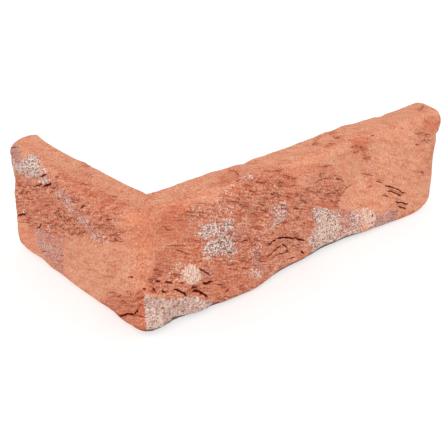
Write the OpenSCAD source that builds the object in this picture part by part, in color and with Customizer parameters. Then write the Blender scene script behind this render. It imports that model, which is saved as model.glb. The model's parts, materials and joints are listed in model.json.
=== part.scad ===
// Corner brick slip: an L-shaped facing piece that is sawn out of one hand-moulded clay brick.
// The two outer faces, the beds and the leg ends keep the moulded skin, with its swells, worn
// arrises, knocked corners and open gashes. The two back faces are flat saw cuts that meet in a
// square corner.
// All sizes are in millimetres. The part stands on its lower bed, centred over the origin.

/* [Slip] */
// Length of the stretcher leg, along X
stretcher_l = 242; // [190:1:290]
// Length of the header leg, along Y
header_l = 129; // [90:1:150]
// Height from bed to bed
height = 65; // [45:1:90]
// Thickness that the saw leaves on both legs
slip_t = 20.5; // [14:0.5:30]

/* [Worn edges] */
// Radius of the upright arris at the outer corner
corner_r = 12; // [8:0.5:16]
// Radius of the upright arrises at the leg ends
end_r = 9.5; // [6:0.5:12]
// Mean radius of the arrises along the lower bed
lower_arris_r = 5.5; // [3:0.25:9]
// Mean radius of the arrises along the upper bed
upper_arris_r = 5.5; // [3:0.25:9]
// How far the bed arrises widen and narrow along the faces
arris_wear = 3.25; // [0:0.25:4]
// Length of one spell of heavy and light wear
wear_l = 130; // [60:1:200]

/* [Moulded skin] */
// Mean depth of the outer faces below their proudest places
skin_depth = 2; // [0:0.25:3]
// Depth of the long swells of the outer faces
swell_d = 2.4; // [0:0.1:3]
// Length of one long swell
swell_l = 130; // [80:1:260]
// Depth of the short ripples of the outer faces
ripple_d = 0.5; // [0:0.05:1]
// Length of one short ripple
ripple_l = 43; // [30:1:80]
// Depth of the hollows of the upper bed
bed_hollow_d = 1.6; // [0:0.1:3]
// Length of one hollow of the upper bed
bed_hollow_l = 380; // [120:1:500]

/* [Facets] */
// Length of the facets along the faces
facet_l = 5; // [4:0.5:10]
// Facets around each rounded arris
arris_steps = 4; // [3:1:6]

/* [Hidden] */
clay = "#d5926f";

// The saw runs past the brick by this much, so that its cut comes out clean
saw_overrun = 5;
// Facets of the leg ends go on past the saw line by this much
end_margin = 6;
// The skin and the bed arrises leave this much of an upright arris, so that its corner stays open
arris_margin = 0.7;
// Slope at which a bed arris may widen again as it leaves an upright arris
arris_slope = 0.5;
// Rings that lead from the arris over the bed: the kept strip, the saw line and past it
bed_rings = [slip_t / 2, slip_t, slip_t + end_margin];

// Knocks and lumps of the outer skin, each [place along the faces, height, reach, depth inwards].
// The place counts from the outer corner: along the stretcher it is positive, along the header negative.
knocks = [
    [-112, 0, 22, -2.5],
    [-92, 0, 10, -0.8],
    [-45, 0, 22, 4],
    [-28, 0, 8, 1],
    [0, 0, 20, 1],
    [24, 0, 6, 1],
    [31, 26, 6, -1],
    [62, 0, 22, -3.5],
    [94, 0, 20, 4.2],
    [132, 0, 8, 1.4],
    [160, 0, 22, -2],
    [205, 0, 32, -4],
    [218, 0, 11, -1.2],
    [stretcher_l, 0, 14, 1.5],
    [stretcher_l, height, 10, 0.5],
    [-header_l, 20, 20, 1],
];

// Dips and rises of the upper bed, each [x, y, reach, depth] from the outer corner
bed_dips = [
    [10, 124, 12, -0.9],
    [10, 98, 17, 0.9],
    [10, 50, 18, -0.4],
    [20, 20, 16, -0.6],
    [44, 17, 14, -1],
    [158, 15, 20, -0.5],
];

// Open gashes of the outer faces, each [width, depth, line], with the line's points as
// [place along the faces, height]
gashes = [
    [1.5, 2, [[-124, 20], [-121, 21.5], [-117, 23.5], [-112, 25.5]]],
    [1.2, 1.6, [[-100, 21.8], [-96, 24], [-93.5, 26.5], [-92, 28]]],
    [1.3, 1.8, [[-87, 50.6], [-81, 53.8], [-77, 56], [-75, 57.5]]],
    [1, 1.5, [[-87.5, 56], [-84, 58], [-79, 61]]],
    [1.6, 2.2, [[-26, 0], [-20, 6], [-16, 8.5], [-12, 10.5], [-7, 14]]],
    [1.1, 1.4, [[12.5, 28.5], [14.5, 27], [16.5, 25.5]]],
    [1, 1.3, [[18, 26], [21.5, 24.5], [23, 23]]],
    [1.2, 1.5, [[25, 19.5], [27, 17.5], [29, 15.5]]],
    [1.5, 2, [[31, 17], [35, 16.5], [38, 13], [41.5, 10.3]]],
    [1.7, 2.1, [[36, 22], [38, 20], [43, 18.5]]],
    [1.1, 1.4, [[62, 31], [64.8, 31.8], [67.5, 32.4]]],
    [1.4, 2, [[80, 23.5], [85, 25], [89, 25], [93, 24], [100, 21], [106, 18], [113, 14.5]]],
    [1.3, 1.5, [[106, 14.2], [108, 13.5], [109.5, 12]]],
    [1.2, 1.5, [[142, 34.8], [143.5, 34.6], [145.5, 34]]],
    [0.9, 1.2, [[179, 29], [187, 26], [195, 21], [201, 18.5]]],
    [1, 1.3, [[191, 13.8], [197, 12], [205, 9]]],
];
// A gash's cutter stands this far clear of the skin, to cut it cleanly
gash_lift = 1.5;

// Plan stations around the brick, counter-clockwise from the outer corner. Each is
// [point, outward direction, place along the faces].
function steps_for(length) = max(2, round(length / facet_l));
function between(a, b, n) = [for (i = [1:n - 1]) a + (b - a) * i / n];
// An upright arris, whose place runs on as if the two faces still met in a sharp edge
function corner(edge, radius, from, place) = [
    for (i = [0:arris_steps])
        let (turn = i / arris_steps)
        let (out = [cos(from + 90 * turn), sin(from + 90 * turn)])
        let (inward = -sqrt(2) * [cos(from + 45), sin(from + 45)])
        [edge + radius * (inward + out), out, place + radius * (2 * turn - 1)]
];
kept_l = slip_t + end_margin;
brick_mid = [stretcher_l / 2, header_l / 2];

front = [
    for (x = between(corner_r, stretcher_l - end_r, steps_for(stretcher_l)))
        [[x, 0], [0, -1], x]
];
stretcher_end = [
    for (y = between(end_r, kept_l, steps_for(kept_l)))
        [[stretcher_l, y], [1, 0], stretcher_l + y]
];
header_end = [
    for (x = between(kept_l, end_r, steps_for(kept_l)))
        [[x, header_l], [0, 1], -header_l - x]
];
side = [
    for (y = between(header_l - end_r, corner_r, steps_for(header_l)))
        [[0, y], [-1, 0], -y]
];
stations = concat(
    front,
    corner([stretcher_l, 0], end_r, -90, stretcher_l),
    stretcher_end,
    corner([stretcher_l, header_l], end_r, 0, stretcher_l + header_l),
    header_end,
    corner([0, header_l], end_r, 90, -header_l),
    side,
    corner([0, 0], corner_r, 180, 0)
);

// How far a place along the faces may move in before the rounded corner next to it closes
function room(s) = min(
    end_r + arris_slope * max(0, min(abs(s - stretcher_l), abs(s + header_l)) - end_r),
    corner_r + arris_slope * max(0, abs(s) - corner_r)
);

// How far the moulded skin stands out from the plain brick, at a place along the faces and a height
function swell(s, z) =
    swell_d * (0.65 * sin(360 * s / swell_l + 228) + 0.35 * sin(360 * (s / swell_l * 1.7 - z / swell_l)));
function ripple(s, z) = ripple_d * sin(360 * s / ripple_l + 140 * sin(360 * z / ripple_l / 2));
function knock(s, z) = [
    for (k = knocks) k[3] * exp(-(pow(s - k[0], 2) + pow(z - k[1], 2)) / pow(k[2], 2))
] * [for (k = knocks) 1];
function skin(s, z) = max(2 * arris_margin - room(s), swell(s, z) + ripple(s, z) - knock(s, z) - skin_depth);

// Radius of the worn arris along a bed, limited by the upright arris that it runs into
function worn(radius, s, z, phase) = min(
    room(s) + min(0, skin(s, z)) - arris_margin,
    max(1, radius + arris_wear * (0.8 * sin(360 * s / wear_l + phase) + 0.2 * sin(1000 * s / wear_l)))
);
// Depth of the upper bed below the full height
function dip(p) = [
    for (d = bed_dips) d[3] * exp(-(pow(p.x - d[0], 2) + pow(p.y - d[1], 2)) / pow(d[2], 2))
] * [for (d = bed_dips) 1];
function hollow(p) = max(0, dip(p) + bed_hollow_d * (0.5 + 0.38 * cos(360 * (p.x - p.y + 20) / bed_hollow_l)
    + 0.12 * sin(360 * (p.x - p.y) / bed_hollow_l * 5)));

// Upright profile at a station, from the lower bed to the upper: pairs of [inset, height]
function profile(s) =
    let (low = worn(lower_arris_r, s, 0, 7), high = worn(upper_arris_r, s, height, 200))
    let (face_n = steps_for(height))
    concat(
        [for (i = [0:arris_steps]) let (a = 90 * i / arris_steps) [low * (1 - sin(a)), low * (1 - cos(a))]],
        [for (z = between(low, height - high, face_n)) [0, z]],
        [for (i = [0:arris_steps]) let (a = 90 * i / arris_steps)
            [high * (1 - cos(a)), height - high * (1 - sin(a))]]
    );

// One station's column of points up the brick, ending in rings over each bed
function level(p, z) = [p.x, p.y, z - hollow(p) * pow(z / height, 6)];
function column(st) =
    let (outline = profile(st[2]))
    let (skinned = [for (q = outline) st[0] + (skin(st[2], q[1]) - q[0]) * st[1]])
    let (last = len(outline) - 1)
    let (over = function(p, reach) p + (brick_mid - p) * reach / brick_mid.y)
    concat(
        [for (i = [len(bed_rings) - 1:-1:0]) level(over(skinned[0], bed_rings[i]), 0)],
        [for (i = [0:last]) level(skinned[i], outline[i][1])],
        [for (reach = bed_rings) level(over(skinned[last], reach), height)]
    );

columns = [for (st = stations) column(st)];
skin_points = [for (c = columns) each c];

// Middle of the brick in plan, with the proudest places of its skin
function mid(values) = (min(values) + max(values)) / 2;
plan_mid = [mid([for (p = skin_points) p.x]), mid([for (p = skin_points) p.y])];

// The whole brick as it left the mould
module moulded_brick() {
    around = len(columns);
    rows = len(columns[0]);
    low_centre = around * rows;
    high_centre = low_centre + 1;
    function at(j, k) = (j % around) * rows + k;
    sides = [
        for (j = [0:around - 1], k = [0:rows - 2])
            each [[at(j, k), at(j, k + 1), at(j + 1, k + 1)], [at(j, k), at(j + 1, k + 1), at(j + 1, k)]]
    ];
    beds = [
        for (j = [0:around - 1])
            each [[low_centre, at(j, 0), at(j + 1, 0)], [high_centre, at(j + 1, rows - 1), at(j, rows - 1)]]
    ];
    polyhedron(
        points = concat(skin_points, [level(brick_mid, 0), level(brick_mid, height)]),
        faces = concat(sides, beds)
    );
}

// One gash as a wedge along its line, which runs out of the skin at both ends
module gash(width, depth, line) {
    last = len(line) - 1;
    lifted = width / 2 * (depth + gash_lift) / depth;
    function on_face(p, out) =
        let (d = skin(p[0], p[1]) + out)
        p[0] > 0 ? [p[0], -d, p[1]] : [-d, -p[0], p[1]];
    function wedge(i) =
        let (run = line[min(i + 1, last)] - line[max(i - 1, 0)])
        let (across = [-run[1], run[0]] / norm(run))
        let (inside = i > 0 && i < last)
        let (half = inside ? lifted : lifted / 4)
        [
            on_face(line[i] + half * across, gash_lift),
            on_face(line[i] - half * across, gash_lift),
            on_face(line[i], inside ? -depth : gash_lift / 3),
        ];
    sides = [
        for (i = [0:last - 1], k = [0:2])
            let (a = 3 * i + k, b = 3 * i + (k + 1) % 3)
            each [[a, a + 3, b + 3], [a, b + 3, b]]
    ];
    polyhedron(
        points = [for (i = [0:last]) each wedge(i)],
        faces = concat([[0, 1, 2]], sides, [[3 * last + 2, 3 * last + 1, 3 * last]])
    );
}

// What the saw takes away: everything behind the two legs
module sawn_core() {
    translate([slip_t, slip_t, -saw_overrun])
        cube([stretcher_l, header_l, height + 2 * saw_overrun]);
}

module brick_slip() {
    color(clay)
        translate([-plan_mid.x, -plan_mid.y, 0])
            difference() {
                moulded_brick();
                sawn_core();
                for (g = gashes)
                    gash(g[0], g[1], g[2]);
            }
}

brick_slip();
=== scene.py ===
"""Corner brick slip: a hand-moulded clay skin with folds, gashes and lime patches over the sawn L."""
import json
import math

import bpy
import numpy as np
from mathutils import Matrix, Vector, noise
from mathutils.bvhtree import BVHTree


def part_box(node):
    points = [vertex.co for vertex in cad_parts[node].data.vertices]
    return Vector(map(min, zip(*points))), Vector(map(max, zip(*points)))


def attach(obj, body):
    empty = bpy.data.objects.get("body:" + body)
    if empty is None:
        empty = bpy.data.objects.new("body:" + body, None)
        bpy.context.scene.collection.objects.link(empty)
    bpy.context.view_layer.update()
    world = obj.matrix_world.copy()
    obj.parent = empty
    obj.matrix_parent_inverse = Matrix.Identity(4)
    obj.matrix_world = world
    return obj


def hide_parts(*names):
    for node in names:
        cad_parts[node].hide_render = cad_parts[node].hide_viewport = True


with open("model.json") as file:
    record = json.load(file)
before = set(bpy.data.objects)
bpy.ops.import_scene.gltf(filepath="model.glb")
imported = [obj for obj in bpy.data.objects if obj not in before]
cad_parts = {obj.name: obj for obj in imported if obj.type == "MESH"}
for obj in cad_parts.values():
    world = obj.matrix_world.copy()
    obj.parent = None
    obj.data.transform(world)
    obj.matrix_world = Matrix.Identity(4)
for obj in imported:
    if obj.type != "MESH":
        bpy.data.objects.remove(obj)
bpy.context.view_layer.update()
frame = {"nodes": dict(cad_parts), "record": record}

MM = 0.001
NODE = "brick_slip"

# Fixed random order, and noise: how far a seed moves it along the axes, and how its octaves shrink
SEED = 7
SEED_STEPS = (17.3, 9.1, 4.7)
OCTAVE_FALL = 1.0
OCTAVE_STEP = 2.0

# Camera, as the photograph's perspective gives it: degrees, millimetres and pixels
VIEW_AZIMUTH = -42.29
VIEW_ELEVATION = 27.05
VIEW_ROLL = 0.57
VIEW_DISTANCE = 352.0
VIEW_TARGET = (-52.15, -39.92, 33.22)
FOCAL_PIXELS = 679.0
PHOTO_PIXELS = 445
SENSOR_MM = 36.0

# Light: white surroundings, and a soft key that stands high over the outer corner, in degrees
SKY_STRENGTH = 0.8
KEY_STRENGTH = 1.45
KEY_SOFTNESS = 20
KEY_ELEVATION = 36
KEY_AZIMUTH = -45

# Floor that sweeps up into a round wall: sizes in metres, counts of sides and steps, and its white
FLOOR_FLAT = 1.5
FLOOR_SWEEP = 1.0
FLOOR_WALL = 4.0
FLOOR_SIDES = 96
FLOOR_STEPS = 12
FLOOR_WHITE = 0.6
FLOOR_GLOW = 0.45
FLOOR_ROUGHNESS = 0.9

# Mean section of the two legs in millimetres, which rays then fit to the solid
LEG_T = 18.5
CORNER_R = 10.0
END_R = 7.5
ARRIS_R = 5.5
SAWN_R = 0.8
BED_DROP = 1.2

# Mesh: its step in millimetres, and the rows or rings of its stretches
MESH_STEP = 0.62
LOWER_BED_ROWS = 8
UPPER_BED_ROWS = 16
BACK_ROWS = 12
ARRIS_ROWS = 10
SAWN_TURNS = (math.radians(30), math.radians(60))
CAP_ARC = 12
CAP_FLAT = 8

# Kinds of rows round a leg's section
LOWER_BED, SKIN, UPPER_BED, SAWN_BACK = range(4)

# Fit to the solid: reach of the rays in millimetres, and blurs in steps of the mesh
RAY_REACH = 12.0
FIT_BLUR = 4.5
FILL_BLUR = 3
MEETING_BLUR = 12
LEAST_WEIGHT = 1e-6

# Millimetres that stand for off the skin, and for far from any line
OFF_SKIN = 999.0
FAR = 4.0

# The folds of the clay run down and away from the outer corner on both faces
FOLD_SLOPE = 0.42
FOLD_STRETCH = 4.0
FOLD_NOISE = (1.5, 3, 5)

# Noise of the relief: size of its lumps in millimetres, octaves, seed, and height in millimetres
RELIEF_NOISE = {
    "lumps": (20, 2, 4, 0.25),
    "coarse": (8, 3, 1, 0.16),
    "fine": (2.6, 2, 2, 0.07),
    "grain": (1.3, 2, 3, 0.07),
}

# Heights of the relief in millimetres: folds, the skin over the bare body, crust and cream lumps.
# Crust also calms the folds by a share, and mortar has more pits than lime.
SKIN_FOLD = 0.1
BARE_FOLD = 0.16
SKIN_RISE = 0.2
CRUST_RISE = 0.1
CRUST_GRAIN = 0.2
CREAM_RISE = 0.3
CRUST_CALM = 0.7
MORTAR_PITS = 2

# Height over the floor where the relief starts and where it is full, and rings where saw marks fade
RELIEF_STARTS = (0.2, 4.0)
SAWN_FADE = 3

# Ragged edges of the zones: how far each noise moves them in millimetres. Zones with an edge at
# least as wide as RAGGED_EDGE wander by all of it, and cream lumps by a share.
COARSE_WANDER = 2.4
STREAK_WANDER = 2.2
FINE_WANDER = 0.9
CREAM_SHARE = 0.5
RAGGED_EDGE = 4.0

# Tone of the clay from dark 0 to pale 1: its mean and what changes it
MEAN_TONE = 0.6
BARE_DARKER = 0.1
STREAK_TONE = 0.05
STREAK_ON_SKIN = 0.4
COARSE_TONE = 0.04
# Painted shade: the clay is darker in the hollows of gashes, lips and pits, where shade falls
HOLLOW_PAINTED_SHADE = 0.05
# Painted shade over the rounded outer corner and the upper arris, which tones down the key light's brighter
# band there
CORNER_PAINTED_SHADE = 0.09
CORNER_REACH = 7
ARRIS_PAINTED_SHADE = 0.04
ARRIS_LEVEL = 68
ARRIS_REACH = 4

# Strength of the fine grit on the skin, more of it where bare or crusted, and less where sawn
GRIT_ON_SKIN = 0.7
GRIT_MORE = 0.4
GRIT_LESS = 0.5

# Gashes in millimetres and shares: reach and wander of the line, taper, width, wall, depth and painted shade
GASH_REACH = 5
GASH_BESIDE = 1
GASH_WANDER = 0.55
GASH_TIP = 3.0
GASH_TIP_SHARE = 0.45
GASH_HALF = 0.4
GASH_VARIES = 0.4
GASH_NARROWER = 0.1
GASH_WALL = 0.45
GASH_DEPTH = 0.7
GASH_FAINT = 0.4
GASH_DARKENS = 0.5

# Lips in millimetres: reach and wander of the line, edge, run-out below it, and fade of its painted shade
LIP_REACH = 6
LIP_WANDER = 0.5
LIP_EDGE = 0.35
LIP_RUN_OUT = 2.2
LIP_SHADE_FADE = (1.8, 1.0)

# Loose lips, creases and pits: their count, and the range or spread of their sizes
LOOSE_LIPS = 260
LOOSE_CREASES = 130
LOOSE_PITS = 120
LIP_DROPS = (0.25, 0.6)
CREASE_DROPS = (0.12, 0.28)
LIP_LENGTHS = (1.5, 4.5)
LIP_TURN = 0.13
LIP_BOW = 0.3
PIT_RADII = (0.45, 0.8)
PIT_REACH = 3

# Painted contact shadow along the foot of the stretcher: where it starts and ends along the skin, and up it
FOOT_START = (-14, 2)
FOOT_END = (230, 216)
FOOT_TOP = (2.8, 0.4)
FOOT_UNDER = (-8, -5)


def rgb(red, green, blue):
    """Linear colour from the 0 to 255 values of a screen colour."""
    def linear(value):
        c = value / 255
        return c / 12.92 if c <= 0.04045 else ((c + 0.055) / 1.055) ** 2.4
    return (linear(red), linear(green), linear(blue), 1.0)


# Colours from dark to pale, each with its place on the ramp
CLAY_TONES = [
    (0.0, rgb(132, 48, 32)),
    (0.2, rgb(182, 92, 68)),
    (0.4, rgb(203, 123, 94)),
    (0.6, rgb(219, 151, 119)),
    (0.8, rgb(231, 170, 141)),
    (1.0, rgb(242, 196, 172)),
]
LIME_TONES = [
    (0.0, rgb(112, 74, 64)),
    (0.25, rgb(164, 124, 112)),
    (0.5, rgb(202, 170, 158)),
    (0.75, rgb(223, 199, 189)),
    (1.0, rgb(242, 226, 218)),
]
MORTAR_TONES = [(0.0, rgb(150, 112, 100)), (0.5, rgb(203, 167, 153)), (1.0, rgb(236, 212, 200))]
CREAM_TONES = [(0.0, rgb(186, 134, 114)), (0.4, rgb(222, 182, 163)), (1.0, rgb(245, 221, 206))]
VIOLET_TONES = [(0.0, rgb(134, 80, 74)), (0.5, rgb(184, 137, 128)), (1.0, rgb(212, 176, 170))]
EMBER = rgb(208, 114, 82)
CRIMSON = rgb(186, 86, 66)
MAUVE = rgb(196, 128, 114)
PEPPER = rgb(116, 72, 62)
RUST_DOT = rgb(150, 82, 62)
PALE_GRAIN = rgb(240, 206, 188)
# Painted shade for creases, pits and gashes
CREASE_PAINTED_SHADE = rgb(122, 42, 22)
GASH_PAINTED_SHADE = rgb(86, 20, 6)
# Painted contact shadow for the stretcher's foot
FOOT_PAINTED_SHADOW = rgb(72, 56, 52)
CLAY_ROUGHNESS = 0.93
CLAY_GLOSS = 0.1

# Grains of the colours: size in millimetres and detail
LUMP_GRAIN = (4.0, 3)
GRIT_GRAIN = (1.0, 2)
DUST_GRAIN = (0.6, 1)
MAUVE_GRAIN = (7.0, 2)
CUT_GRAIN = (18.0, 3)
GRAIN_ROUGHNESS = 0.55

# Streaks along the folds, and the saw's marks: length and width in millimetres, and detail
FOLD_STREAKS = (5.0, 1.3, 4)
BLOTCH_STREAKS = (9.0, 3.0, 3)
SMEAR_STREAKS = (16.0, 3.5, 3)
EMBER_STREAKS = (12.0, 4.0, 2)
GROOVE_STREAKS = (6.0, 1.1, 3)
FLAKE_STREAKS = (2.6, 0.9, 2)
RIDGE_STREAKS = (9.0, 1.8, 3)
RIDGE_BREAKS = (14.0, 5.0, 1)
SAW_MARKS = (70.0, 1.1, 2)

# Dots: spacing in millimetres, reach as a share of the spacing, and share of the dots that show
PALE_DOTS = (1.7, 0.32, 0.35)
RUST_DOTS = (2.3, 0.22, 0.35)
LIME_DOTS = (1.7, 0.36, 0.3)
MORTAR_DOTS = (1.8, 0.3, 0.55)
CUT_PALE_DOTS = (3.1, 0.34, 0.2)
CUT_RUST_DOTS = (3.6, 0.28, 0.35)
DOT_CORE = 0.6

# Places of the colour's sockets on a mix node
MIX_FACTOR, MIX_UNDER, MIX_OVER, MIX_RESULT = 0, 6, 7, 2

# Places below are millimetres on the unrolled skin: along from the outer corner, positive on the
# stretcher and negative on the header, and up from the lower bed, on over the upper bed.

# Soft swells and hollows of the arrises and the beds: centre, half sizes and height
SWELLS = [
    ((-124, 78), (8, 8), 2.0),
    ((-129, 86), (6, 6), -2.4),
    ((-118, 3), (5, 5), -0.8),
    ((-124, 26), (6, 12), 1.3),
    ((-124, 44), (6, 6), -1.2),
    ((-125, 57), (6, 6), 1.3),
    ((-20, 3), (6, 5), 0.5),
    ((-62, 84), (6, 8), 0.6),
    ((-33, 3), (6, 5), -0.6),
    ((-4, 86), (8, 8), 0.8),
    ((-86, 3), (8, 5), 0.8),
    ((-26, 3), (8, 5), 0.3),
    ((-75, 3), (25, 5), -0.5),
    ((4, 3), (4, 4), -0.6),
    ((21, 4), (5, 5), -1.4),
    ((33, 3), (5, 4), 0.5),
    ((44, 4), (4, 4), -1.3),
    ((72, 2), (10, 5), 0.9),
    ((95, 3), (7, 5), -0.3),
    ((110, 3), (6, 5), 0.5),
    ((174, 3), (5, 5), -0.7),
    ((199, 3), (12, 5), 1.2),
    ((129, 4), (9, 5), -1.3),
    ((150, 4), (6, 4), -0.8),
    ((236, 27), (7, 18), -1.0),
    ((214, 3), (12, 5), 1.1),
    ((234, 55), (5, 5), 1.0),
    ((232, 47.5), (5, 2.4), -1.2),
    ((240, 86), (6, 6), -2.0),
    ((236, 79), (5, 7), 1.8),
    ((240, 66), (5, 8), -1.2),
    ((30, 83), (7, 8), 0.2),
    ((43, 83), (5, 8), 0.5),
    ((67, 83), (4, 8), -0.9),
    ((82, 83), (6, 8), -0.2),
    ((103, 83), (5, 8), -0.2),
    ((133, 83), (7, 8), 0.6),
    ((150, 83), (6, 8), 0.9),
    ((190, 83), (5, 8), -0.9),
    ((208, 83), (12, 8), -0.7),
]

# Paler and deeper spots of the clay: centre, half sizes and rise in tone
PALE_SPOTS = [
    ((97, 13), (20, 11), 0.17),
    ((115, 55), (20, 8), 0.05),
    ((218, 50), (14, 12), 0.05),
    ((14, 55), (13, 13), -0.06),
]

# Outlines that a red and an orange zone share
CORNER_STREAK = [(13, 50), (13, 66), (27, 65), (28, 52), (25, 45), (20, 46)]
RIGHT_STREAK = [(154, 57), (159, 55), (163, 50), (165.5, 47.5), (163, 46), (158, 49)]

# Zones of the skin: the outline, the width of the ragged edge and the strength
RED_ZONES = [
    ([(-140, 46), (-120, 45), (-110, 49), (-102, 52), (-94, 51), (-86, 54), (-78, 60), (-70, 62), (-60, 62),
      (-45, 61), (-30, 60), (-16, 60), (-8, 56), (-12, 50), (-20, 46), (-28, 44), (-40, 41), (-50, 36),
      (-60, 32), (-65, 28), (-76, 25), (-92, 22), (-102, 20), (-112, 19), (-140, 18)], 4, 0.9),
    ([(-78, 61), (-72, 66), (-62, 69), (-45, 70), (-30, 71), (-15, 70), (-10, 60), (-45, 59),
      (-70, 60)], 5, 0.8),
    ([(-140, 68), (-116, 68), (-106, 64), (-101, 60), (-110, 55), (-140, 53)], 4, 0.7),
    ([(-38, 4), (-30, 12), (-25, 17), (-15, 21), (-12, 24), (-5, 26), (1, 26), (1, -6), (-40, -6)], 4, 0.9),
    ([(1, 26), (4, 31), (9, 34), (9, 42), (16, 44), (24, 44), (28, 50), (28, 63), (36, 61), (46, 59),
      (54, 63),
      (64, 66), (78, 67), (90, 65), (96, 56), (104, 50), (118, 49), (128, 48), (136, 45), (143, 40),
      (142, 34), (141, 25), (136, 25), (128, 28), (118, 31), (119, 20), (114, 15), (120, 8), (121, -4),
      (44, -4), (42, 6), (37, 8), (32, 12), (26, 14), (20, 15), (15, 17), (10, 20), (4, 23)], 4, 0.9),
    ([(90, 65), (100, 62), (112, 60), (124, 57), (133, 50), (118, 48), (104, 49), (94, 55)], 5, 0.35),
    (CORNER_STREAK, 4, 0.6),
    ([(144, 60), (148, 57), (152, 55.5), (158, 54), (160, 57), (155, 60), (150, 62), (146, 62)], 3, 1.0),
    ([(140, 65), (148, 62), (158, 59), (163, 64), (160, 67), (148, 67)], 4, 0.6),
    (RIGHT_STREAK, 3, 0.8),
    ([(119, 75), (123, 79), (128, 83), (130, 80), (126, 76), (122, 74)], 3, 0.8),
    ([(128, 68.5), (131, 72), (135, 72), (134, 68.5)], 3, 0.8),
    ([(137, 71), (138, 77), (142, 76), (144, 71), (141, 69)], 3, 0.9),
    ([(138, 77), (140, 83), (146, 83), (143, 78)], 3, 0.8),
    ([(118, 52), (136, 49), (142, 43), (128, 43), (118, 46)], 4, 0.8),
    ([(158, 42), (168, 41), (177, 35), (176, 31), (168, 33), (160, 38)], 6, 0.45),
    ([(140, 25), (145, 23), (151, 19.5), (150, 15), (146, 15.5), (141, 20)], 3, 0.9),
    ([(202, 59), (214, 62), (222, 63), (228, 62), (245, 62), (245, 50), (226, 50), (210, 51),
      (202, 53)], 4, 0.55),
    ([(203, 50), (216, 50), (228, 48), (228, 42), (214, 42), (205, 44)], 6, 0.35),
    ([(218, 40), (226, 41), (232, 40), (232, 22), (222, 26)], 7, 0.4),
    ([(207, 31), (216, 30), (222, 26.5), (218, 24), (210, 26)], 4, 0.6),
    ([(216, 69), (221, 71), (228, 74.5), (232, 77), (232, 78), (224, 75), (218, 72)], 2, 0.9),
    ([(183, 8), (190, 9), (200, 7), (210, 4), (214, -4), (186, -4)], 4, 0.8),
    ([(45, 69), (50, 76), (58, 81), (64, 77), (65, 68), (58, 66)], 5, 0.5),
    ([(-64, 70), (-50, 71), (-46, 80), (-62, 80)], 7, 0.45),
    ([(-98, 24), (-86, 25), (-70, 28), (-69, 2), (-92, 4), (-98, 12)], 5, 0.45),
]
EMBER_ZONES = [
    (CORNER_STREAK, 3, 0.9),
    ([(-12, 49), (-12, 67), (13, 67), (16, 45), (3, 43)], 6, 0.4),
    ([(-72, 64), (-60, 67), (-45, 69), (-15, 69), (-14, 62), (-30, 58), (-45, 61), (-62, 62)], 5, 0.6),
    ([(-36, 4), (-28, 13), (-20, 18), (-12, 22), (-4, 26), (1, 26), (1, -6), (-36, -6)], 4, 0.7),
    ([(2, 26), (4, 38), (9, 42), (24, 44), (34, 45), (35, 36), (20, 35), (12, 26)], 5, 0.5),
    ([(78, 22), (85, 23), (92, 22), (100, 18), (108, 14), (117, 10), (118, 3), (84, 3), (76, 10)], 4, 0.3),
    ([(112, 37), (122, 35), (130, 32), (139, 30), (141, 25), (136, 25), (128, 28), (120, 31),
      (113, 33)], 2, 0.9),
    ([(206, 53), (212, 60), (229, 61), (232, 52), (220, 51)], 4, 0.9),
    ([(-104, 33), (-96, 38), (-86, 42), (-76, 46), (-72, 44), (-84, 38), (-96, 33)], 4, 0.7),
    ([(42, 8), (40, 28), (58, 25), (66, 20), (78, 20), (78, 6), (50, 4)], 5, 0.5),
    ([(52, 60), (58, 66), (75, 67), (92, 65), (100, 61), (92, 60), (75, 60)], 4, 0.6),
    ([(45, 68), (50, 76), (58, 82), (64, 78), (66, 68), (58, 66)], 5, 0.5),
    ([(90, 60), (92, 44), (97, 44), (98, 58), (118, 54), (134, 49), (120, 58), (104, 62)], 4, 0.7),
    ([(204, 44), (206, 51), (228, 50), (231, 30), (222, 26), (214, 40)], 6, 0.25),
    ([(142, 58), (148, 66), (160, 64), (158, 55), (148, 56)], 3, 0.8),
    (RIGHT_STREAK, 3, 0.7),
    ([(-120, 6), (-120, 18), (-101, 19), (-99, 8)], 5, 0.4),
]
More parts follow.
